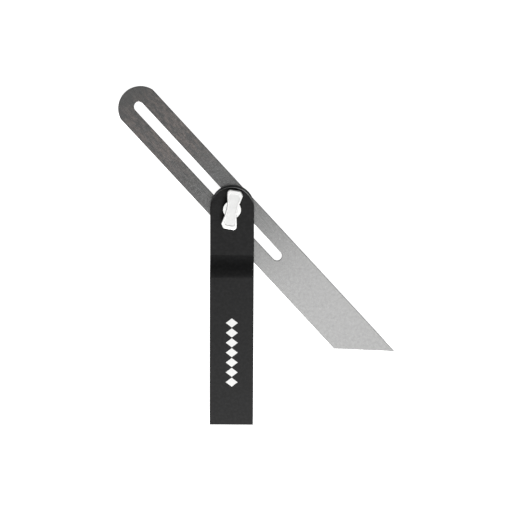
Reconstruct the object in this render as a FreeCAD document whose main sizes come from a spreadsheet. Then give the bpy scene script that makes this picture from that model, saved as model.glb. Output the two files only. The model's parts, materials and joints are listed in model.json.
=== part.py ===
"""Sliding bevel: a slotted steel blade clamped between two cheeks by a bolt and a lock lever.

Frame: +Z up through the thickness of the tool, which lies flat on its back face at Z = 0.
The origin is on the axis of the clamp bolt, +Y runs towards the round head and the stock
runs towards -Y. All sizes are in millimetres and the driving ones are in the spreadsheet.
"""

import FreeCAD, Part
import math
import os
import Sketcher

DIMENSIONS = (
    # stock, seen from above
    ("stock_width", 23.3),
    ("butt_reach", 116.8),
    ("back_thickness", 4.4),
    ("blade_gap", 2.4),
    ("head_height", 11.0),
    ("grip_height", 15.5),
    ("edge_break", 0.4),
    # the S-shaped ramp from the head face up to the grip face
    ("ramp_start", 24.7),
    ("ramp_end", 36.6),
    ("ramp_radius", 12.7),
    # spacer and the two screws that hold the cheeks together at the butt
    ("spacer_length", 12.0),
    ("screw_spread", 6.0),
    ("screw_diameter", 4.0),
    ("screw_hole", 4.2),
    ("screw_head", 7.8),
    ("screw_recess", 0.1),
    ("screw_reach", 11.6),
    ("screw_socket", 2.5),
    ("screw_socket_depth", 1.4),
    ("screw_hole_depth", 5.2),
    # blade, measured along its own length from the round end
    ("blade_length", 200.0),
    ("blade_width", 23.0),
    ("blade_thickness", 1.5),
    ("blade_end_radius", 11.9),
    ("blade_tip_angle", 45.0),
    ("blade_pivot", 83.2),
    ("blade_angle", 47.2),
    ("slot_width", 5.4),
    ("slot_start", 10.65),
    ("slot_finish", 118.5),
    # clamp bolt
    ("bolt_diameter", 5.0),
    ("bolt_hole", 5.3),
    ("bolt_head", 10.0),
    ("bolt_head_recess", 0.4),
    ("bolt_head_height", 1.7),
    ("counterbore", 10.4),
    ("square_neck", 5.0),
    ("square_hole", 5.2),
    ("neck_height", 1.8),
    ("bolt_tip", 14.2),
    ("bolt_tip_chamfer", 0.4),
    # washers
    ("friction_washer", 16.0),
    ("friction_bore", 5.1),
    ("friction_thickness", 0.4),
    ("spring_washer_size", 8.8),
    ("spring_washer_thickness", 0.5),
    ("spring_split", 0.7),
    ("flat_washer_size", 9.0),
    ("flat_washer_bore", 5.1),
    ("flat_washer_thickness", 0.8),
    ("stack_clearance", 0.02),
    # lock lever and the threaded insert inside it
    ("lever_lean", 7.4),
    ("lever_height", 3.1),
    ("lever_plate", 2.2),
    ("lever_hub", 9.4),
    ("lever_hub_height", 2.5),
    ("lever_dish", 0.3),
    ("lever_dish_across", 0.7),
    ("lever_dish_along", 0.82),
    ("lever_corner", 1.2),
    ("lever_waist_round", 4.0),
    ("lever_top_round", 0.35),
    ("insert_size", 7.4),
    ("insert_bore", 5.1),
    ("insert_height", 2.0),
    ("insert_pocket", 2.1),
    ("insert_clearance", 0.02),
)

# Half of the lever's outline, as (across, along) from its centre. The lever looks the same
# after half a turn, so the other half has the opposite signs.
LEVER_HALF_OUTLINE = (
    (-2.5, 10.5),
    (3.3, 10.3),
    (4.8, 8.1),
    (3.4, 2.8),
    (2.8, -2.3),
    (3.6, -7.3),
    (3.7, -9.4),
)

GAP_ROOF = "Sheet.back_thickness + Sheet.blade_gap"
BLADE_FLOOR = "Sheet.back_thickness + (Sheet.blade_gap - Sheet.blade_thickness) / 2"
BLADE_ROOF = "Sheet.back_thickness + (Sheet.blade_gap + Sheet.blade_thickness) / 2"
WASHER_SPACE = "(Sheet.blade_gap - Sheet.blade_thickness) / 2 - Sheet.friction_thickness"
FLAT_WASHER_FLOOR = "Sheet.head_height + Sheet.spring_washer_thickness + Sheet.stack_clearance"
LEVER_FLOOR = FLAT_WASHER_FLOOR + " + Sheet.flat_washer_thickness + Sheet.stack_clearance"
SPACER_TOP = "Sheet.spacer_length - Sheet.butt_reach"
SCREW_Y = "Sheet.spacer_length / 2 - Sheet.butt_reach"

ORIGIN_POINT = (-1, 1)
H_AXIS = -1
V_AXIS = -2
START = 1
END = 2
CENTRE = 3

doc = FreeCAD.newDocument("sliding_bevel")
sheet = doc.addObject("Spreadsheet::Sheet", "Sheet")
for row, (alias, size) in enumerate(DIMENSIONS, start=1):
    sheet.set(f"A{row}", alias)
    sheet.set(f"B{row}", str(size))
    sheet.setAlias(f"B{row}", alias)
doc.recompute()


def value(expression):
    """The number that an expression of the sheet's cells gives."""
    return float(sheet.evalExpression(expression))


def new_body(name, floor="0"):
    """A body whose own XY plane lies at the height `floor`."""
    body = doc.addObject("PartDesign::Body", name)
    body.Label = name
    body.setExpression("Placement.Base.z", floor)
    return body


def turn(body, degrees):
    """Turn a body about the vertical axis through its origin."""
    body.Placement.Rotation = FreeCAD.Rotation(FreeCAD.Vector(0, 0, 1), degrees)


def new_sketch(body, name, plane="XY_Plane", offset="0"):
    """A sketch on one of the body's origin planes, moved along that plane's normal."""
    sketch = body.newObject("Sketcher::SketchObject", name)
    support = [f for f in body.Origin.OriginFeatures if f.Role == plane][0]
    sketch.AttachmentSupport = [(support, "")]
    sketch.MapMode = "FlatFace"
    sketch.setExpression("AttachmentOffset.Base.z", offset)
    return sketch


def dimension(sketch, kind, targets, expression):
    """Add a constraint whose size follows an expression of the sheet's cells."""
    index = sketch.addConstraint(Sketcher.Constraint(kind, *targets, value(expression)))
    sketch.setExpression(f"Constraints[{index}]", expression)


def place_point(sketch, geometry, point, x, y):
    """Fix a point of the sketch at (x, y), both given as expressions."""
    for kind, axis, expression in (("DistanceX", V_AXIS, x), ("DistanceY", H_AXIS, y)):
        size = value(expression)
        if abs(size) < 1e-9:
            sketch.addConstraint(Sketcher.Constraint("PointOnObject", geometry, point, axis))
        elif size > 0:
            dimension(sketch, kind, (*ORIGIN_POINT, geometry, point), expression)
        else:
            dimension(sketch, kind, (geometry, point, *ORIGIN_POINT), f"-({expression})")


def add_line(sketch, start, end):
    """A line between two numeric points, not yet constrained."""
    segment = Part.LineSegment(FreeCAD.Vector(*start, 0), FreeCAD.Vector(*end, 0))
    return sketch.addGeometry(segment, False)


def add_arc(sketch, centre, radius, start, end):
    """A counterclockwise arc from the direction of `start` to that of `end`."""
    angles = [math.atan2(p[1] - centre[1], p[0] - centre[0]) for p in (start, end)]
    circle = Part.Circle(FreeCAD.Vector(*centre, 0), FreeCAD.Vector(0, 0, 1), radius)
    return sketch.addGeometry(Part.ArcOfCircle(circle, *angles), False)


def add_polygon(sketch, corners):
    """A closed outline of straight lines through corners given as pairs of expressions."""
    points = [(value(x), value(y)) for x, y in corners]
    lines = [add_line(sketch, a, b) for a, b in zip(points, points[1:] + points[:1])]
    for line, following in zip(lines, lines[1:] + lines[:1]):
        sketch.addConstraint(Sketcher.Constraint("Coincident", line, END, following, START))
    for line, (x, y) in zip(lines, corners):
        place_point(sketch, line, START, x, y)


def add_rectangle(sketch, half_width, bottom, top):
    """A rectangle centred on the vertical axis, between two heights."""
    left = f"-({half_width})"
    add_polygon(sketch, ((left, bottom), (half_width, bottom), (half_width, top), (left, top)))


def add_circle(sketch, diameter, x="0", y="0"):
    """A circle of the given diameter about (x, y)."""
    centre = FreeCAD.Vector(value(x), value(y), 0)
    ring = Part.Circle(centre, FreeCAD.Vector(0, 0, 1), value(diameter) / 2)
    geometry = sketch.addGeometry(ring, False)
    place_point(sketch, geometry, CENTRE, x, y)
    dimension(sketch, "Diameter", (geometry,), diameter)


def add_slot(sketch, start, finish, width):
    """A slot with round ends along the horizontal axis, between two end centres."""
    x0, x1, r = value(start), value(finish), value(width) / 2
    upper = add_line(sketch, (x1, r), (x0, r))
    left = add_arc(sketch, (x0, 0), r, (x0, r), (x0, -r))
    lower = add_line(sketch, (x0, -r), (x1, -r))
    right = add_arc(sketch, (x1, 0), r, (x1, -r), (x1, r))
    for first, second in ((upper, left), (left, lower), (lower, right), (right, upper)):
        sketch.addConstraint(Sketcher.Constraint("Tangent", first, END, second, START))
    place_point(sketch, left, CENTRE, start, "0")
    place_point(sketch, right, CENTRE, finish, "0")
    dimension(sketch, "Radius", (left,), f"{width} / 2")


def pad(body, sketch, height, name):
    """Raise a sketch by `height` along its normal."""
    feature = body.newObject("PartDesign::Pad", name)
    feature.Profile = sketch
    feature.setExpression("Length", height)
    doc.recompute()
    return feature


def pocket(body, sketch, depth, name):
    """Cut a sketch `depth` upwards from its plane, and confirm that it removed material."""
    before = body.Shape.Volume
    feature = body.newObject("PartDesign::Pocket", name)
    feature.Profile = sketch
    feature.Reversed = True
    feature.setExpression("Length", depth)
    doc.recompute()
    if body.Shape.Volume >= before:
        raise RuntimeError(f"{body.Label}: {name} cut nothing")
    return feature


def dress(body, kind, base, edges, size, name):
    """A Chamfer or Fillet on the edges of `base` for which the test `edges` is true."""
    chosen = [f"Edge{i}" for i, edge in enumerate(base.Shape.Edges, start=1) if edges(edge)]
    if not chosen:
        raise RuntimeError(f"{body.Label}: {name} found no edges")
    feature = body.newObject(f"PartDesign::{kind}", name)
    feature.Base = (base, chosen)
    feature.setExpression("Size" if kind == "Chamfer" else "Radius", size)
    doc.recompute()
    return feature


def flat_at(height):
    """A test for edges that lie in the horizontal plane at `height`."""
    return lambda edge: edge.BoundBox.ZLength < 1e-6 and abs(edge.BoundBox.ZMin - height) < 1e-6


def on_outline(edge):
    """True for an edge on the stock's plan outline: its sides, butt end and round head."""
    half = value("Sheet.stock_width") / 2
    butt = -value("Sheet.butt_reach")
    box = edge.BoundBox
    side = box.XLength < 1e-6 and abs(abs(box.XMin) - half) < 1e-6
    end = box.YLength < 1e-6 and abs(box.YMin - butt) < 1e-6
    curve = edge.Curve
    head = isinstance(curve, Part.Circle) and abs(curve.Radius - half) < 1e-6
    return side or end or head


def pad_stock_outline(body, height):
    """The stock's plan outline, a bar with a half-round head about the bolt axis."""
    bar = new_sketch(body, f"{body.Label}_bar")
    add_rectangle(bar, "Sheet.stock_width / 2", "-Sheet.butt_reach", "0")
    pad(body, bar, height, f"{body.Label}_bar_pad")
    head = new_sketch(body, f"{body.Label}_head")
    add_circle(head, "Sheet.stock_width")
    return pad(body, head, height, f"{body.Label}_head_pad")


def break_outline(body, base, height, name):
    """Chamfer the stock's plan outline where it lies at `height` in the body."""
    level = flat_at(value(height))
    dress(body, "Chamfer", base, lambda e: level(e) and on_outline(e), "Sheet.edge_break", name)


def make_back_cheek():
    """The flat back plate, with the recess and square hole that hold the bolt."""
    body = new_body("back_cheek")
    plate = pad_stock_outline(body, "Sheet.back_thickness")
    break_outline(body, plate, "0", "back_edge_break")
    recess = new_sketch(body, "head_recess")
    add_circle(recess, "Sheet.counterbore")
    pocket(body, recess, "Sheet.bolt_head_recess + Sheet.bolt_head_height", "head_recess_cut")
    square = new_sketch(body, "neck_hole")
    add_rectangle(square, "Sheet.square_hole / 2", "-Sheet.square_hole / 2", "Sheet.square_hole / 2")
    pocket(body, square, "Sheet.back_thickness", "neck_hole_cut")
    holes = new_sketch(body, "back_screw_holes")
    for side in ("-Sheet.screw_spread", "Sheet.screw_spread"):
        add_circle(holes, "Sheet.screw_hole", side, SCREW_Y)
    drilled = pocket(body, holes, "Sheet.back_thickness", "back_screw_holes_cut")
    mouth = value("Sheet.screw_hole") / 2
    dress(
        body,
        "Chamfer",
        drilled,
        lambda edge: flat_at(0)(edge)
        and isinstance(edge.Curve, Part.Circle)
        and abs(edge.Curve.Radius - mouth) < 1e-6,
        "(Sheet.screw_head - Sheet.screw_hole) / 2 + Sheet.screw_recess",
        "countersinks",
    )
    return body


def ramp_centres(start, end, radius):
    """The centres of the two equal arcs that make the ramp, in the side view's (Y, Z).

    The arcs meet smoothly halfway up. The lower one is hollow, with its centre above it, the
    upper one is rounded, with its centre below it, and each leaves its flat at a slight angle.
    """
    length = math.dist(start, end)
    across = ((end[1] - start[1]) / length, (start[0] - end[0]) / length)
    reach = math.sqrt(radius**2 - (length / 4) ** 2)
    return [
        tuple(start[i] + share * (end[i] - start[i]) + side * reach * across[i] for i in (0, 1))
        for share, side in ((0.25, 1), (0.75, -1))
    ]


def draw_grip_profile(sketch):
    """Side view of the raised grip with its ramp, from the blade gap up to the grip face."""
    foot_height = f"Sheet.head_height - ({GAP_ROOF})"
    top_height = f"Sheet.grip_height - ({GAP_ROOF})"
    butt, end, start = (-value(f"Sheet.{n}") for n in ("butt_reach", "ramp_end", "ramp_start"))
    foot, top, radius = value(foot_height), value(top_height), value("Sheet.ramp_radius")
    lower, upper = ramp_centres((start, foot), (end, top), radius)
    middle = ((start + end) / 2, (foot + top) / 2)
    underside = add_line(sketch, (butt, 0), (start, 0))
    rise = add_line(sketch, (start, 0), (start, foot))
    concave = add_arc(sketch, lower, radius, middle, (start, foot))
    convex = add_arc(sketch, upper, radius, middle, (end, top))
    face = add_line(sketch, (end, top), (butt, top))
    butt_end = add_line(sketch, (butt, top), (butt, 0))
    joints = (
        (underside, END, rise, START),
        (rise, END, concave, END),
        (convex, END, face, START),
        (face, END, butt_end, START),
        (butt_end, END, underside, START),
    )
    for joint in joints:
        sketch.addConstraint(Sketcher.Constraint("Coincident", *joint))
    sketch.addConstraint(Sketcher.Constraint("Tangent", concave, START, convex, START))
    sketch.addConstraint(Sketcher.Constraint("Equal", concave, convex))
    dimension(sketch, "Radius", (concave,), "Sheet.ramp_radius")
    halfway = f"({foot_height} + {top_height}) / 2"
    dimension(sketch, "DistanceY", (*ORIGIN_POINT, concave, START), halfway)
    place_point(sketch, underside, START, "-Sheet.butt_reach", "0")
    place_point(sketch, rise, START, "-Sheet.ramp_start", "0")
    place_point(sketch, rise, END, "-Sheet.ramp_start", foot_height)
    place_point(sketch, face, START, "-Sheet.ramp_end", top_height)
    place_point(sketch, face, END, "-Sheet.butt_reach", top_height)


def make_front_cheek():
    """The front plate: a thin ear at the head, and a ramp up to the thick grip."""
    body = new_body("front_cheek", GAP_ROOF)
    ear = pad_stock_outline(body, f"Sheet.head_height - ({GAP_ROOF})")
    break_outline(body, ear, f"Sheet.head_height - ({GAP_ROOF})", "head_edge_break")
    grip = new_sketch(body, "grip_profile", "YZ_Plane", "-Sheet.stock_width / 2")
    draw_grip_profile(grip)
    block = pad(body, grip, "Sheet.stock_width", "grip_pad")
    break_outline(body, block, f"Sheet.grip_height - ({GAP_ROOF})", "grip_edge_break")
    bore = new_sketch(body, "bolt_bore")
    add_circle(bore, "Sheet.bolt_hole")
    pocket(body, bore, "Sheet.grip_height", "bolt_bore_cut")
    holes = new_sketch(body, "front_screw_holes")
    for side in ("-Sheet.screw_spread", "Sheet.screw_spread"):
        add_circle(holes, "Sheet.screw_hole", side, SCREW_Y)
    pocket(body, holes, "Sheet.screw_hole_depth", "front_screw_holes_cut")
    return body


def make_butt_spacer():
    """The block that closes the gap at the butt and keeps the cheeks apart."""
    body = new_body("butt_spacer", "Sheet.back_thickness")
    block = new_sketch(body, "spacer_block")
    add_rectangle(block, "Sheet.stock_width / 2", "-Sheet.butt_reach", SPACER_TOP)
    pad(body, block, "Sheet.blade_gap", "spacer_pad")
    holes = new_sketch(body, "spacer_holes")
    for side in ("-Sheet.screw_spread", "Sheet.screw_spread"):
        add_circle(holes, "Sheet.screw_hole", side, SCREW_Y)
    pocket(body, holes, "Sheet.blade_gap", "spacer_holes_cut")
    return body


def make_cheek_screws():
    """Two countersunk socket screws, put in from the back."""
    screw = doc.addObject("PartDesign::Body", "one_screw")
    profile = new_sketch(screw, "screw_profile", "XZ_Plane")
    cone = "(Sheet.screw_head - Sheet.screw_diameter) / 2"
    add_polygon(
        profile,
        (
            ("0", "Sheet.screw_recess"),
            ("Sheet.screw_head / 2", "Sheet.screw_recess"),
            ("Sheet.screw_diameter / 2", f"Sheet.screw_recess + {cone}"),
            ("Sheet.screw_diameter / 2", "Sheet.screw_reach - Sheet.edge_break"),
            ("Sheet.screw_diameter / 2 - Sheet.edge_break", "Sheet.screw_reach"),
            ("0", "Sheet.screw_reach"),
        ),
    )
    turned = screw.newObject("PartDesign::Revolution", "screw_turned")
    turned.Profile = profile
    turned.ReferenceAxis = (profile, ["V_Axis"])
    doc.recompute()
    socket = new_sketch(screw, "screw_socket_outline")
    corner = f"Sheet.screw_socket / {math.sqrt(3)}"
    corners = []
    for step in range(6):
        angle = math.radians(60 * step + 30)
        corners.append((f"{corner} * {math.cos(angle):.6f}", f"{corner} * {math.sin(angle):.6f}"))
    add_polygon(socket, corners)
    pocket(screw, socket, "Sheet.screw_socket_depth", "screw_socket_cut")
    screw.setExpression("Placement.Base.x", "Sheet.screw_spread")
    screw.setExpression("Placement.Base.y", SCREW_Y)
    twin = doc.addObject("Part::Mirroring", "other_screw")
    twin.Source = screw
    twin.Normal = FreeCAD.Vector(1, 0, 0)
    pair = doc.addObject("Part::Compound", "cheek_screws")
    pair.Label = "cheek_screws"
    pair.Links = [screw, twin]
    return pair


def make_blade():
    """The slotted blade: round at one end and cut to an acute point at the other.

    Its own X axis runs along it from the bolt axis towards the point.
    """
    body = new_body("blade", BLADE_FLOOR)
    turn(body, -value("Sheet.blade_angle"))
    outline = new_sketch(body, "blade_outline")
    half = value("Sheet.blade_width") / 2
    tip_x = "Sheet.blade_length - Sheet.blade_pivot"
    heel_x = f"{tip_x} - Sheet.blade_width / tan(Sheet.blade_tip_angle * 1deg)"
    tip, heel = value(tip_x), value(heel_x)
    radius = value("Sheet.blade_end_radius")
    centre = radius - value("Sheet.blade_pivot")
    meet = centre - math.sqrt(radius**2 - half**2)
    upper = add_line(outline, (tip, half), (meet, half))
    end = add_arc(outline, (centre, 0), radius, (meet, half), (meet, -half))
    lower = add_line(outline, (meet, -half), (heel, -half))
    cut = add_line(outline, (heel, -half), (tip, half))
    for first, second in ((upper, end), (end, lower), (lower, cut), (cut, upper)):
        outline.addConstraint(Sketcher.Constraint("Coincident", first, END, second, START))
    outline.addConstraint(Sketcher.Constraint("Horizontal", upper))
    outline.addConstraint(Sketcher.Constraint("Horizontal", lower))
    dimension(outline, "Radius", (end,), "Sheet.blade_end_radius")
    place_point(outline, end, CENTRE, "Sheet.blade_end_radius - Sheet.blade_pivot", "0")
    place_point(outline, upper, START, tip_x, "Sheet.blade_width / 2")
    place_point(outline, cut, START, heel_x, "-Sheet.blade_width / 2")
    pad(body, outline, "Sheet.blade_thickness", "blade_pad")
    slot = new_sketch(body, "blade_slot")
    add_slot(
        slot,
        "Sheet.slot_start - Sheet.blade_pivot",
        "Sheet.slot_finish - Sheet.blade_pivot",
        "Sheet.slot_width",
    )
    pocket(body, slot, "Sheet.blade_thickness", "blade_slot_cut")
    return body


def make_ring(name, floor, outer, bore, thickness):
    """A flat round washer or bush about the bolt axis."""
    body = new_body(name, floor)
    disc = new_sketch(body, f"{name}_disc")
    add_circle(disc, outer)
    add_circle(disc, bore)
    pad(body, disc, thickness, f"{name}_pad")
    return body


def make_spring_washer():
    """A split spring washer, pressed flat while the lever is tight."""
    body = make_ring(
        "spring_washer",
        "Sheet.head_height",
        "Sheet.spring_washer_size",
        "Sheet.bolt_hole",
        "Sheet.spring_washer_thickness",
    )
    split = new_sketch(body, "washer_split")
    add_rectangle(split, "Sheet.spring_split / 2", "0", "Sheet.spring_washer_size")
    pocket(body, split, "Sheet.spring_washer_thickness", "washer_split_cut")
    return body


def make_clamp_bolt():
    """A low flat-headed bolt with a square neck that keeps it from turning."""
    body = new_body("clamp_bolt", "Sheet.bolt_head_recess")
    head = new_sketch(body, "bolt_head_outline")
    add_circle(head, "Sheet.bolt_head")
    cap = pad(body, head, "Sheet.bolt_head_height", "bolt_head_pad")
    dress(body, "Chamfer", cap, flat_at(0), "Sheet.edge_break", "bolt_head_chamfer")
    neck = new_sketch(body, "bolt_neck_outline", offset="Sheet.bolt_head_height")
    add_rectangle(neck, "Sheet.square_neck / 2", "-Sheet.square_neck / 2", "Sheet.square_neck / 2")
    pad(body, neck, "Sheet.neck_height", "bolt_neck_pad")
    shank = new_sketch(body, "bolt_shank_outline")
    add_circle(shank, "Sheet.bolt_diameter")
    length = "Sheet.bolt_tip - Sheet.bolt_head_recess"
    stem = pad(body, shank, length, "bolt_shank_pad")
    dress(body, "Chamfer", stem, flat_at(value(length)), "Sheet.bolt_tip_chamfer", "bolt_tip_break")
    return body


def lever_corners(across="1", along="1"):
    """The lever's whole outline as pairs of expressions, scaled about its centre."""
    both_halves = [(sign * x, sign * y) for sign in (1, -1) for x, y in LEVER_HALF_OUTLINE]
    return [(f"{x} * {across}", f"{y} * {along}") for x, y in both_halves]


def near_corner(edge, corners):
    """True for an upright edge that stands on one of the given (x, y) corners."""
    box = edge.BoundBox
    if box.XLength > 1e-6 or box.YLength > 1e-6:
        return False
    return any(math.dist((box.XMin, box.YMin), corner) < 1e-3 for corner in corners)


def make_lock_lever():
    """The cast lever: a waisted plate with two wings, on a round hub over the bolt."""
    body = new_body("lock_lever", LEVER_FLOOR)
    turn(body, -value("Sheet.lever_lean"))
    plate_floor = "Sheet.lever_height - Sheet.lever_plate"
    plate = new_sketch(body, "lever_outline", offset=plate_floor)
    add_polygon(plate, lever_corners())
    slab = pad(body, plate, "Sheet.lever_plate", "lever_plate_pad")
    corners = [(value(x), value(y)) for x, y in lever_corners()]
    beside_hub = value("Sheet.lever_hub") / 2
    waist = [p for p in corners if abs(p[1]) < beside_hub]
    tips = [p for p in corners if abs(p[1]) >= beside_hub]
    slab = dress(
        body, "Fillet", slab, lambda e: near_corner(e, waist), "Sheet.lever_waist_round", "waist_round"
    )
    slab = dress(
        body, "Fillet", slab, lambda e: near_corner(e, tips), "Sheet.lever_corner", "wing_round"
    )
    dress(
        body,
        "Fillet",
        slab,
        flat_at(value("Sheet.lever_height")),
        "Sheet.lever_top_round",
        "lever_top_edge",
    )
    hub = new_sketch(body, "lever_hub_outline")
    add_circle(hub, "Sheet.lever_hub")
    pad(body, hub, "Sheet.lever_hub_height", "lever_hub_pad")
    dish = new_sketch(body, "lever_dish_outline", offset="Sheet.lever_height - Sheet.lever_dish")
    add_polygon(dish, lever_corners("Sheet.lever_dish_across", "Sheet.lever_dish_along"))
    pocket(body, dish, "Sheet.lever_dish", "lever_dish_cut")
    seat = new_sketch(body, "insert_seat")
    add_circle(seat, "Sheet.insert_size")
    pocket(body, seat, "Sheet.insert_pocket", "insert_seat_cut")
    return body


def failed_objects():
    """The labels of the objects that could not be built."""
    return [o.Label for o in doc.Objects if "Invalid" in o.State or "Error" in o.State]


def export(subparts):
    """Write each sub-part to parts/, once the whole document has built soundly."""
    doc.recompute()
    if failed_objects():
        raise RuntimeError(f"not built: {failed_objects()}")
    os.makedirs("parts", exist_ok=True)
    for subpart in subparts:
        shape = subpart.Shape
        if shape.isNull() or not shape.isValid():
            raise RuntimeError(f"{subpart.Label} has no valid shape")
        shape.exportStep(os.path.join("parts", f"{subpart.Label}.step"))
        print(f"{subpart.Label}: {len(shape.Solids)} solid, {shape.Volume:.1f} mm3")


export(
    [
        make_back_cheek(),
        make_front_cheek(),
        make_butt_spacer(),
        make_cheek_screws(),
        make_blade(),
        make_ring(
            "blade_washer_back",
            f"Sheet.back_thickness + ({WASHER_SPACE}) / 2",
            "Sheet.friction_washer",
            "Sheet.friction_bore",
            "Sheet.friction_thickness",
        ),
        make_ring(
            "blade_washer_front",
            f"{BLADE_ROOF} + ({WASHER_SPACE}) / 2",
            "Sheet.friction_washer",
            "Sheet.friction_bore",
            "Sheet.friction_thickness",
        ),
        make_clamp_bolt(),
        make_spring_washer(),
        make_ring(
            "flat_washer",
            FLAT_WASHER_FLOOR,
            "Sheet.flat_washer_size",
            "Sheet.flat_washer_bore",
            "Sheet.flat_washer_thickness",
        ),
        make_lock_lever(),
        make_ring(
            "lever_insert",
            LEVER_FLOOR,
            "Sheet.insert_size - 2 * Sheet.insert_clearance",
            "Sheet.insert_bore",
            "Sheet.insert_height",
        ),
    ]
)
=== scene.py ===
"""Sliding bevel: finishes, edges, print mark, studio light and camera around the CAD frame.

Units are metres and the frame is the part's own: +Z up through the tool's thickness, the
origin on the clamp bolt's axis at the back face, +Y towards the round head.
"""

import json
import math

import bpy
from mathutils import Euler, Matrix, Vector


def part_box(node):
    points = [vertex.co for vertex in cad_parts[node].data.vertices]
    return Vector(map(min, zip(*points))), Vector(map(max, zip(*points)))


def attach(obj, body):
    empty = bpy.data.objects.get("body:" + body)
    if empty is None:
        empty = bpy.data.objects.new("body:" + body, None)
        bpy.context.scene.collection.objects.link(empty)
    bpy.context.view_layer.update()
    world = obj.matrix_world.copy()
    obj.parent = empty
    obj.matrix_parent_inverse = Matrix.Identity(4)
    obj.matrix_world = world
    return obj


MM = 0.001

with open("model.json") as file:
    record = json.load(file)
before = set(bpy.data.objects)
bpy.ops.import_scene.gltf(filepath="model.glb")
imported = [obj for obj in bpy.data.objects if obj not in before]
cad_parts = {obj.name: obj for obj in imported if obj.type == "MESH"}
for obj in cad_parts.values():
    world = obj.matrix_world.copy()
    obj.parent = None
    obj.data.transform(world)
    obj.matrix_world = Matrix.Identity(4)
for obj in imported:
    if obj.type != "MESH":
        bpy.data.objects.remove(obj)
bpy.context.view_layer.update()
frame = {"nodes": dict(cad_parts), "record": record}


# --------------------------------------------------------------------- shader vocabulary


class Shader:
    """A Principled material with a small vocabulary for building its node tree.

    Plain values are given by the name of their socket, with _ for each space.
    """

    def __init__(self, name, **inputs):
        self.material = bpy.data.materials.new(name)
        self.material.use_nodes = True
        self.tree = self.material.node_tree
        self.bsdf = self.tree.nodes["Principled BSDF"]
        for socket, value in inputs.items():
            self.bsdf.inputs[socket.replace("_", " ")].default_value = value
        self.coordinates = self.add("ShaderNodeTexCoord").outputs["Object"]

    def add(self, kind, **settings):
        node = self.tree.nodes.new(kind)
        for setting, choice in settings.items():
            setattr(node, setting, choice)
        return node

    def link(self, source, target):
        self.tree.links.new(source, target)

    def feed(self, socket, source):
        """Let a texture set one of the shader's sockets."""
        self.link(source, self.bsdf.inputs[socket])

    def along(self, angle, scale=(1.0, 1.0, 1.0)):
        """Object coordinates turned about Z until X runs along `angle`, and then scaled."""
        turned = self.add("ShaderNodeMapping")
        turned.inputs["Rotation"].default_value = (0, 0, -angle)
        self.link(self.coordinates, turned.inputs["Vector"])
        scaled = self.add("ShaderNodeMapping")
        scaled.inputs["Scale"].default_value = scale
        self.link(turned.outputs["Vector"], scaled.inputs["Vector"])
        return scaled.outputs["Vector"]

    def place(self, vector, axis):
        """One coordinate of a vector."""
        node = self.add("ShaderNodeSeparateXYZ")
        self.link(vector, node.inputs[0])
        return node.outputs[axis]

    def noise(self, vector, scale=1.0, detail=3.0, roughness=0.6):
        """Soft noise with about `scale` features to the vector's unit."""
        node = self.add("ShaderNodeTexNoise")
        node.inputs["Scale"].default_value = scale
        node.inputs["Detail"].default_value = detail
        node.inputs["Roughness"].default_value = roughness
        self.link(vector, node.inputs["Vector"])
        return node.outputs["Fac"]

    def remap(self, value, low, high, to_low=0.0, to_high=1.0):
        node = self.add("ShaderNodeMapRange")
        for socket, number in zip(
            ("From Min", "From Max", "To Min", "To Max"), (low, high, to_low, to_high)
        ):
            node.inputs[socket].default_value = number
        self.link(value, node.inputs["Value"])
        return node.outputs["Result"]

    def spread(self, noise, low, high):
        """Noise, most of which lies between 0.3 and 0.7, spread from `low` to `high`."""
        return self.remap(noise, 0.3, 0.7, low, high)

    def window(self, value, rise, fall, before=0.0):
        """Goes from `before` to 1 over the pair `rise`, and down to 0 over the pair `fall`."""
        rising = self.remap(value, *rise, before, 1.0)
        falling = self.remap(value, *fall, 1.0, 0.0)
        return self.combine(rising, falling, "MULTIPLY")

    def blend(self, factor, first, second):
        """Colour from `first` to `second`; each is an RGB triple or a socket."""
        node = self.add("ShaderNodeMix", data_type="RGBA")
        self.link(factor, node.inputs["Factor"])
        for socket, color in ((node.inputs[6], first), (node.inputs[7], second)):
            if isinstance(color, tuple):
                socket.default_value = (*color, 1)
            else:
                self.link(color, socket)
        return node.outputs[2]

    def combine(self, first, second, operation="ADD"):
        """A sum, product or other operation on two sockets or numbers."""
        node = self.add("ShaderNodeMath", operation=operation)
        for socket, part in zip(node.inputs, (first, second)):
            if isinstance(part, (int, float)):
                socket.default_value = part
            else:
                self.link(part, socket)
        return node.outputs[0]

    def bump(self, height, distance, strength):
        node = self.add("ShaderNodeBump")
        node.inputs["Distance"].default_value = distance
        node.inputs["Strength"].default_value = strength
        self.link(height, node.inputs["Height"])
        self.feed("Normal", node.outputs["Normal"])

    def levelness(self):
        """1 on level faces, 0.7 on a 45 degree edge break and 0 on upright faces."""
        geometry = self.add("ShaderNodeNewGeometry")
        rise = self.place(geometry.outputs["True Normal"], "Z")
        return self.combine(rise, 0.0, "ABSOLUTE")


# --------------------------------------------------------------------- materials

# the blade's heading about Z at rest
BLADE_ANGLE = math.radians(-47.2)

# noise scales in features per metre, along, across and through the blade
GRAIN_SCALE = (120.0, 2400.0, 900.0)
STREAK_SCALE = (260.0, 900.0, 400.0)


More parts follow.
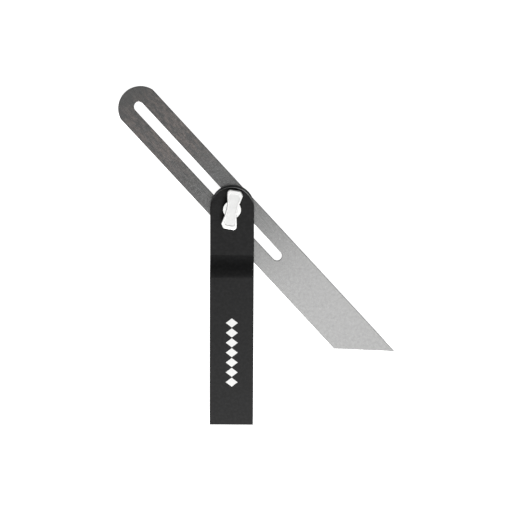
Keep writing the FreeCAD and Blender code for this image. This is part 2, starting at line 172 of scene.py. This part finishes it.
def black_coating():
    """Satin black over aluminium, finely pebbled; grey painted highlight on the head's edge break.
    """
    deep_black = (0.0068, 0.0068, 0.007)
    soft_black = (0.0092, 0.0092, 0.0095)
    scuffed_black = (0.0145, 0.0145, 0.0148)
    # painted highlight: grey for the head's edge break where it catches the light
    painted_highlight_grey = (0.5, 0.5, 0.5)

    s = Shader("StockBlack", Specular_IOR_Level=0.2)
    cloud = s.noise(s.coordinates, 90.0)
    scuff = s.noise(s.coordinates, 700.0)
    pebble = s.noise(s.coordinates, 1500.0)
    plain = s.blend(cloud, deep_black, soft_black)
    coat = s.blend(s.remap(scuff, 0.4, 0.7), plain, scuffed_black)

    # painted highlight on the 45 degree edge break, strongest towards the head and the right,
    # where the light catches it
    edge_break = s.window(s.levelness(), rise=(0.6, 0.68), fall=(0.74, 0.8))
    towards_head = s.remap(s.place(s.coordinates, "Y"), 3 * MM, 9 * MM, 0.04, 1.0)
    to_the_right = s.remap(s.place(s.coordinates, "X"), -4 * MM, 6 * MM, 0.35, 1.0)
    highlight_side = s.combine(towards_head, to_the_right, "MULTIPLY")
    painted_highlight = s.combine(edge_break, highlight_side, "MULTIPLY")

    s.feed("Base Color", s.blend(painted_highlight, coat, painted_highlight_grey))
    s.feed("Roughness", s.spread(cloud, 0.38, 0.46))
    s.bump(pebble, 0.03 * MM, 0.4)
    return s.material


def satin_steel():
    """Rolled strip: fine grain along the blade, blasted speckle, brown handling stains.

    `length` runs along the blade from the bolt's axis, negative towards the round end.
    """
    dark_strip = (0.32, 0.32, 0.318)
    pale_strip = (0.44, 0.44, 0.436)
    dull_tip = (0.29, 0.29, 0.288)
    brown_stain = (0.64, 0.57, 0.54)
    # painted shade: a dark grey for the blade's upright walls and edge rounds
    wall_shade_grey = (0.11, 0.11, 0.11)

    s = Shader("BladeSteel", Metallic=1.0)
    grain = s.noise(s.along(BLADE_ANGLE, GRAIN_SCALE), detail=4.0)
    streaks = s.noise(s.along(BLADE_ANGLE, STREAK_SCALE), detail=4.0, roughness=0.7)
    speckle = s.noise(s.coordinates, 650.0, roughness=0.7)
    haze = s.noise(s.coordinates, 45.0, detail=4.0)
    length = s.place(s.along(BLADE_ANGLE), "X")

    rolled = s.combine(s.spread(grain, 0.0, 0.6), s.spread(speckle, 0.0, 0.4))
    blasted = s.remap(speckle, 0.25, 0.75, 0.1, 0.9)
    texture = s.blend(s.remap(length, 0.0, 50 * MM), rolled, blasted)
    strip = s.blend(texture, dark_strip, pale_strip)
    tone = s.blend(s.remap(length, 50 * MM, 110 * MM, 0.0, 0.35), strip, dull_tip)
    used_end = s.window(length, rise=(-80 * MM, -68 * MM), fall=(-45 * MM, -20 * MM), before=0.2)
    brown = s.combine(s.remap(streaks, 0.42, 0.64), used_end, "MULTIPLY")
    # painted shade: upright faces take the dark grey, level faces keep the steel's tone
    wall_shade = s.remap(s.levelness(), 0.5, 0.9, 1.0, 0.0)

    s.feed("Base Color", s.blend(wall_shade, s.blend(brown, tone, brown_stain), wall_shade_grey))
    fine_gloss = s.spread(speckle, 0.2, 0.25)
    s.feed("Roughness", s.combine(fine_gloss, s.spread(haze, 0.0, 0.03)))
    s.bump(s.combine(grain, speckle), 0.012 * MM, 0.35)
    return s.material


def bright_casting():
    """Plated zinc casting with cast waviness; its dish is painted darker than the rim, as painted
    shade.
    """
    # painted shade: the dish's colours, darker than the plating on the rim, sides and hub
    dish_shade_dark = (0.78, 0.78, 0.775)
    dish_shade_light = (0.92, 0.92, 0.91)
    bright_plating = (0.97, 0.97, 0.96)
    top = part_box("lock_lever")[1].z
    hub_side = (top - 0.5 * MM, top - 0.4 * MM)
    rim_side = (top - 0.22 * MM, top - 0.1 * MM)

    s = Shader("LeverZinc", Metallic=1.0)
    wave = s.noise(s.coordinates, 350.0)
    skin = s.noise(s.coordinates, 1400.0)
    # painted shade: the band of heights that holds the dish floor takes the darker colours
    dish_shade = s.window(s.place(s.coordinates, "Z"), rise=hub_side, fall=rim_side)

    s.feed("Base Color", s.blend(dish_shade, bright_plating, s.blend(wave, dish_shade_dark, dish_shade_light)))
    s.feed("Roughness", s.spread(skin, 0.38, 0.5))
    s.bump(s.combine(wave, s.combine(skin, 0.4, "MULTIPLY")), 0.05 * MM, 0.5)
    return s.material


def turned_metal(name, dark, light):
    """Machined metal with fine rings about the bolt axis."""
    s = Shader(name, Metallic=1.0)
    rings = s.add("ShaderNodeTexWave", wave_type="RINGS", rings_direction="Z")
    rings.inputs["Scale"].default_value = 1400.0
    rings.inputs["Distortion"].default_value = 1.5
    s.link(s.coordinates, rings.inputs["Vector"])
    patch = s.noise(s.coordinates, 400.0)
    s.feed("Base Color", s.blend(patch, dark, light))
    s.feed("Roughness", s.spread(patch, 0.25, 0.38))
    s.bump(rings.outputs["Fac"], 0.01 * MM, 0.5)
    return s.material


def matt(name, dark, light, grain, roughness):
    """Matt surface with an even fine grain, for fibre washers, oxide and ink."""
    s = Shader(name)
    coarse = s.noise(s.coordinates, grain / 6, detail=4.0)
    fine = s.noise(s.coordinates, grain, detail=2.0)
    s.feed("Base Color", s.blend(coarse, dark, light))
    s.feed("Roughness", s.spread(fine, roughness - 0.06, roughness + 0.06))
    s.bump(fine, 0.02 * MM, 0.4)
    return s.material


MATERIALS = {
    "stock_black": black_coating(),
    "blade_steel": satin_steel(),
    "lever_zinc": bright_casting(),
    "plated_steel": turned_metal("PlatedSteel", (0.55, 0.56, 0.56), (0.72, 0.72, 0.7)),
    "insert_brass": turned_metal("InsertBrass", (0.6, 0.45, 0.2), (0.78, 0.6, 0.3)),
    "fastener_black": matt("FastenerBlack", (0.02, 0.02, 0.021), (0.04, 0.04, 0.041), 2400.0, 0.4),
    "friction_fibre": matt("FrictionFibre", (0.07, 0.06, 0.05), (0.13, 0.12, 0.1), 1200.0, 0.8),
    "mark_white": matt("MarkWhite", (0.74, 0.74, 0.73), (0.86, 0.86, 0.85), 2000.0, 0.6),
}


def paint(obj, slot):
    obj.data.materials.clear()
    obj.data.materials.append(MATERIALS[slot])


# --------------------------------------------------------------------- CAD pieces

NODE_SLOTS = {row["node"]: row["material_slot"] for row in frame["record"]["subparts"]}

EDGE_ROUNDS = {
    "front_cheek": 0.15 * MM,
    "back_cheek": 0.15 * MM,
    "blade": 0.2 * MM,
    "lock_lever": 0.12 * MM,
    "clamp_bolt": 0.1 * MM,
}
WELD_GAP = 0.001 * MM
FLAT_ANGLE = math.radians(0.5)
SHARP_ANGLE = math.radians(30)
ROUND_SEGMENTS = 2
FLAT_WEIGHT = 100


def soften(obj, width):
    """Round the sharp edges of a CAD node: join its faces, merge its flats, then bevel."""
    weld = obj.modifiers.new("JoinFaces", "WELD")
    weld.merge_threshold = WELD_GAP
    flats = obj.modifiers.new("MergeFlats", "DECIMATE")
    flats.decimate_type = "DISSOLVE"
    flats.angle_limit = FLAT_ANGLE
    bevel = obj.modifiers.new("EdgeRound", "BEVEL")
    bevel.width = width
    bevel.segments = ROUND_SEGMENTS
    bevel.limit_method = "ANGLE"
    bevel.angle_limit = SHARP_ANGLE
    shading = obj.modifiers.new("FlatFaces", "WEIGHTED_NORMAL")
    shading.mode = "FACE_AREA"
    shading.weight = FLAT_WEIGHT


for name, node in frame["nodes"].items():
    paint(node, NODE_SLOTS[name])
    node.data.polygons.foreach_set("use_smooth", [True] * len(node.data.polygons))
    if name in EDGE_ROUNDS:
        soften(node, EDGE_ROUNDS[name])


# --------------------------------------------------------------------- print mark

MARK_X = 0.1 * MM
MARK_Y = -76.9 * MM
LOZENGE_COUNT = 7
LOZENGE_PITCH = 5.4 * MM
LOZENGE_WIDTH = 6.4 * MM
LOZENGE_HEIGHT = 0.92 * LOZENGE_PITCH
INK = 0.01 * MM


def prism(points, low, high):
    """Vertices and faces of an upright prism on a convex outline."""
    count = len(points)
    vertices = [(x, y, z) for z in (low, high) for x, y in points]
    sides = [(i, (i + 1) % count, count + (i + 1) % count, count + i) for i in range(count)]
    return vertices, [tuple(reversed(range(count))), tuple(range(count, 2 * count)), *sides]


def make_mark():
    """A generic printed row of lozenges along the grip, in white ink."""
    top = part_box("front_cheek")[1].z
    half_width = LOZENGE_WIDTH / 2
    half_height = LOZENGE_HEIGHT / 2
    vertices, faces = [], []
    for step in range(LOZENGE_COUNT):
        y = MARK_Y + (step - (LOZENGE_COUNT - 1) / 2) * LOZENGE_PITCH
        outline = (
            (MARK_X - half_width, y),
            (MARK_X, y - half_height),
            (MARK_X + half_width, y),
            (MARK_X, y + half_height),
        )
        points, polygons = prism(outline, top, top + INK)
        faces += [tuple(i + len(vertices) for i in face) for face in polygons]
        vertices += points
    mesh = bpy.data.meshes.new("print_mark")
    mesh.from_pydata(vertices, [], faces)
    mark = bpy.data.objects.new("print_mark", mesh)
    bpy.context.scene.collection.objects.link(mark)
    paint(mark, "mark_white")
    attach(mark, "stock")


make_mark()


# --------------------------------------------------------------------- floor

FLOOR_REACH = 3.0
FLOOR_DROP = 0.2 * MM
FLOOR_WHITE = (0.8, 0.8, 0.8, 1)
FLOOR_GLOW = 0.95
WHITE = (1, 1, 1, 1)


def make_floor():
    """A white light table: a matt sheet that glows evenly, so that shadows on it stay faint.

    It is left out of reflections, so that it doesn't light up the stock's walls.
    """
    signs = ((-1, -1), (1, -1), (1, 1), (-1, 1))
    corners = [(x * FLOOR_REACH, y * FLOOR_REACH, -FLOOR_DROP) for x, y in signs]
    mesh = bpy.data.meshes.new("floor")
    mesh.from_pydata(corners, [], [(0, 1, 2, 3)])
    floor = bpy.data.objects.new("floor", mesh)
    bpy.context.scene.collection.objects.link(floor)
    floor.visible_glossy = False
    s = Shader(
        "FloorWhite",
        Base_Color=FLOOR_WHITE,
        Roughness=0.9,
        Emission_Color=WHITE,
        Emission_Strength=FLOOR_GLOW,
    )
    mesh.materials.append(s.material)


make_floor()


# --------------------------------------------------------------------- light

# The softbox hangs level. Its near edge is what the blade mirrors where it turns from dark to
# pale: SOFTBOX_EDGE is that edge's middle, and SOFTBOX_HEADING points from it across the box.
SOFTBOX_HEIGHT = 0.5
SOFTBOX_SIDE = 0.6
SOFTBOX_EDGE = Vector((0.012, -0.096, SOFTBOX_HEIGHT))
SOFTBOX_HEADING = Vector((0.583, -0.812, 0.0))
SOFTBOX_RADIANCE = 1.2
FRONT_PLACE = Vector((0.1, -1.1, 0.95))
FRONT_SIDE = 0.7
FRONT_WATTS = 21.0
WORLD_RADIANCE = 0.2


def make_area_light(name, place, side, watts):
    data = bpy.data.lights.new(name, "AREA")
    data.shape = "SQUARE"
    data.size = side
    data.energy = watts
    light = bpy.data.objects.new(name, data)
    bpy.context.scene.collection.objects.link(light)
    light.location = place
    return light


def make_lights():
    """A level softbox close above the blade's tip, and a softer light from the butt's side."""
    middle = SOFTBOX_EDGE + SOFTBOX_HEADING * (SOFTBOX_SIDE / 2)
    watts = SOFTBOX_RADIANCE * math.pi * SOFTBOX_SIDE**2
    softbox = make_area_light("Softbox", middle, SOFTBOX_SIDE, watts)
    softbox.rotation_euler = (0, 0, math.atan2(SOFTBOX_HEADING.y, SOFTBOX_HEADING.x))
    front = make_area_light("FrontLight", FRONT_PLACE, FRONT_SIDE, FRONT_WATTS)
    front.rotation_euler = FRONT_PLACE.to_track_quat("Z", "Y").to_euler()


def make_world():
    """A faint even white from all round, and plain tones with no filmic curve."""
    world = bpy.data.worlds.new("Studio")
    world.use_nodes = True
    background = world.node_tree.nodes["Background"]
    background.inputs["Color"].default_value = WHITE
    background.inputs["Strength"].default_value = WORLD_RADIANCE
    bpy.context.scene.world = world
    bpy.context.scene.view_settings.view_transform = "Standard"


make_lights()
make_world()


# --------------------------------------------------------------------- camera

# lens and sensor in millimetres
LENS = 119.531
SENSOR = 36.0
CAMERA_PLACE = Vector((12.1, 126.1, 902.11)) * MM
# from straight down: tipped towards the butt, then leaned and rolled very slightly
CAMERA_TIP = math.radians(-9.6383)
CAMERA_LEAN = math.radians(0.0107)
CAMERA_ROLL = math.radians(0.3166)
NEAREST = 0.01
FARTHEST = 20


def make_camera():
    data = bpy.data.cameras.new("Camera")
    data.type = "PERSP"
    data.sensor_fit = "HORIZONTAL"
    data.sensor_width = SENSOR
    data.lens = LENS
    data.clip_start = NEAREST
    data.clip_end = FARTHEST
    camera = bpy.data.objects.new("Camera", data)
    bpy.context.scene.collection.objects.link(camera)
    turn = Euler((CAMERA_TIP, CAMERA_LEAN, CAMERA_ROLL)).to_matrix().to_4x4()
    camera.matrix_world = Matrix.Translation(CAMERA_PLACE) @ turn
    bpy.context.scene.camera = camera


make_camera()
